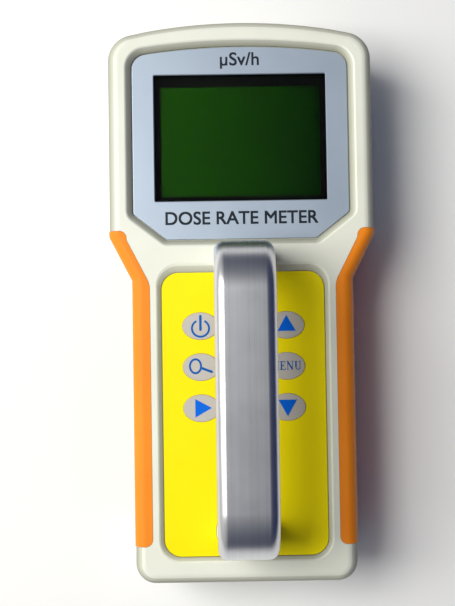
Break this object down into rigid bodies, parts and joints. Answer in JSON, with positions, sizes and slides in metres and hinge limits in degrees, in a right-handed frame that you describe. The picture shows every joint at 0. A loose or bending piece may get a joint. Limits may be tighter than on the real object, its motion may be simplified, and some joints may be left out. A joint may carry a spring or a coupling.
{
  "type": "geiger counter",
  "caption": "Hand-held radiation meter with wide display head, rubber side grips, membrane keypad, bail handle, internal tube and boards, and a sliding battery door.",
  "frame": {"origin": "on the rear face, at the middle of the footprint", "axes": "+Z out of the display, +Y towards the head, +X to the right seen from the front"},
  "size_m": [0.1066, 0.224, 0.09],
  "materials": {
    "casing": "satin",
    "seal": "matte",
    "grip_rubber": "matte",
    "steel": "satin",
    "handle_metal": "satin anodised",
    "bezel_plate": "satin",
    "lens": "clear",
    "dark_plastic": "matte",
    "lcd": "gloss",
    "light_guide": "gloss",
    "circuit_board": "gloss",
    "keypad_film": "fine matte",
    "key_film": "fine matte",
    "spacer_film": "matte",
    "circuit_film": "gloss",
    "ribbon": "satin",
    "lead_red": "satin",
    "lead_black": "satin",
    "tube_metal": "satin",
    "brass_sheet": "satin",
    "cell_wrap": "gloss"
  },
  "bodies": {
    "case": {"front_shell": "casing", "rear_shell": "casing", "case_seal": "seal", "grip_left": "grip_rubber", "grip_right": "grip_rubber", "case_screws": "steel", "handle": "handle_metal", "handle_pads": "seal", "handle_screws": "steel", "handle_washers": "steel", "display_bezel": "bezel_plate", "display_lens": "lens", "lcd_frame": "dark_plastic", "lcd_glass": "lcd", "lcd_backlight": "light_guide", "lcd_board": "circuit_board", "lcd_screws": "steel", "keypad_overlay": "keypad_film", "keypad_spacer": "spacer_film", "keypad_circuit": "circuit_film", "dome_power": "steel", "dome_search": "steel", "dome_right": "steel", "dome_up": "steel", "dome_menu": "steel", "dome_down": "steel", "main_board": "circuit_board", "main_board_screws": "steel", "processor_chip": "dark_plastic", "keypad_socket": "dark_plastic", "display_ribbon": "ribbon", "battery_plug": "ribbon", "battery_lead_red": "lead_red", "battery_lead_black": "lead_black", "detector_board": "circuit_board", "detector_board_screws": "steel", "geiger_tube": "tube_metal", "tube_filter": "brass_sheet", "tube_clips": "brass_sheet", "tube_lead": "lead_red", "high_voltage_can": "steel", "buzzer": "dark_plastic", "battery_contacts": "steel", "battery_springs": "steel", "battery_1": "cell_wrap", "battery_2": "cell_wrap", "battery_3": "cell_wrap", "battery_4": "cell_wrap"},
    "power_button": {"key_power": "key_film"},
    "search_button": {"key_search": "key_film"},
    "right_button": {"key_right": "key_film"},
    "up_button": {"key_up": "key_film"},
    "menu_button": {"key_menu": "key_film"},
    "down_button": {"key_down": "key_film"},
    "door": {"battery_door": "casing"}
  },
  "joints": [
    {"name": "press_power", "type": "slide", "parent": "case", "child": "power_button", "axis": [0, 0, -1], "range_m": [0, 0.0003], "stiffness_N_per_m": 400, "deforming": ["dome_power"]},
    {"name": "press_search", "type": "slide", "parent": "case", "child": "search_button", "axis": [0, 0, -1], "range_m": [0, 0.0003], "stiffness_N_per_m": 400, "deforming": ["dome_search"]},
    {"name": "press_right", "type": "slide", "parent": "case", "child": "right_button", "axis": [0, 0, -1], "range_m": [0, 0.0003], "stiffness_N_per_m": 400, "deforming": ["dome_right"]},
    {"name": "press_up", "type": "slide", "parent": "case", "child": "up_button", "axis": [0, 0, -1], "range_m": [0, 0.0003], "stiffness_N_per_m": 400, "deforming": ["dome_up"]},
    {"name": "press_menu", "type": "slide", "parent": "case", "child": "menu_button", "axis": [0, 0, -1], "range_m": [0, 0.0003], "stiffness_N_per_m": 400, "deforming": ["dome_menu"]},
    {"name": "press_down", "type": "slide", "parent": "case", "child": "down_button", "axis": [0, 0, -1], "range_m": [0, 0.0003], "stiffness_N_per_m": 400, "deforming": ["dome_down"]},
    {"name": "door_slide", "type": "slide", "parent": "case", "child": "door", "axis": [0, -1, 0], "range_m": [0, 0.08]}
  ]
}
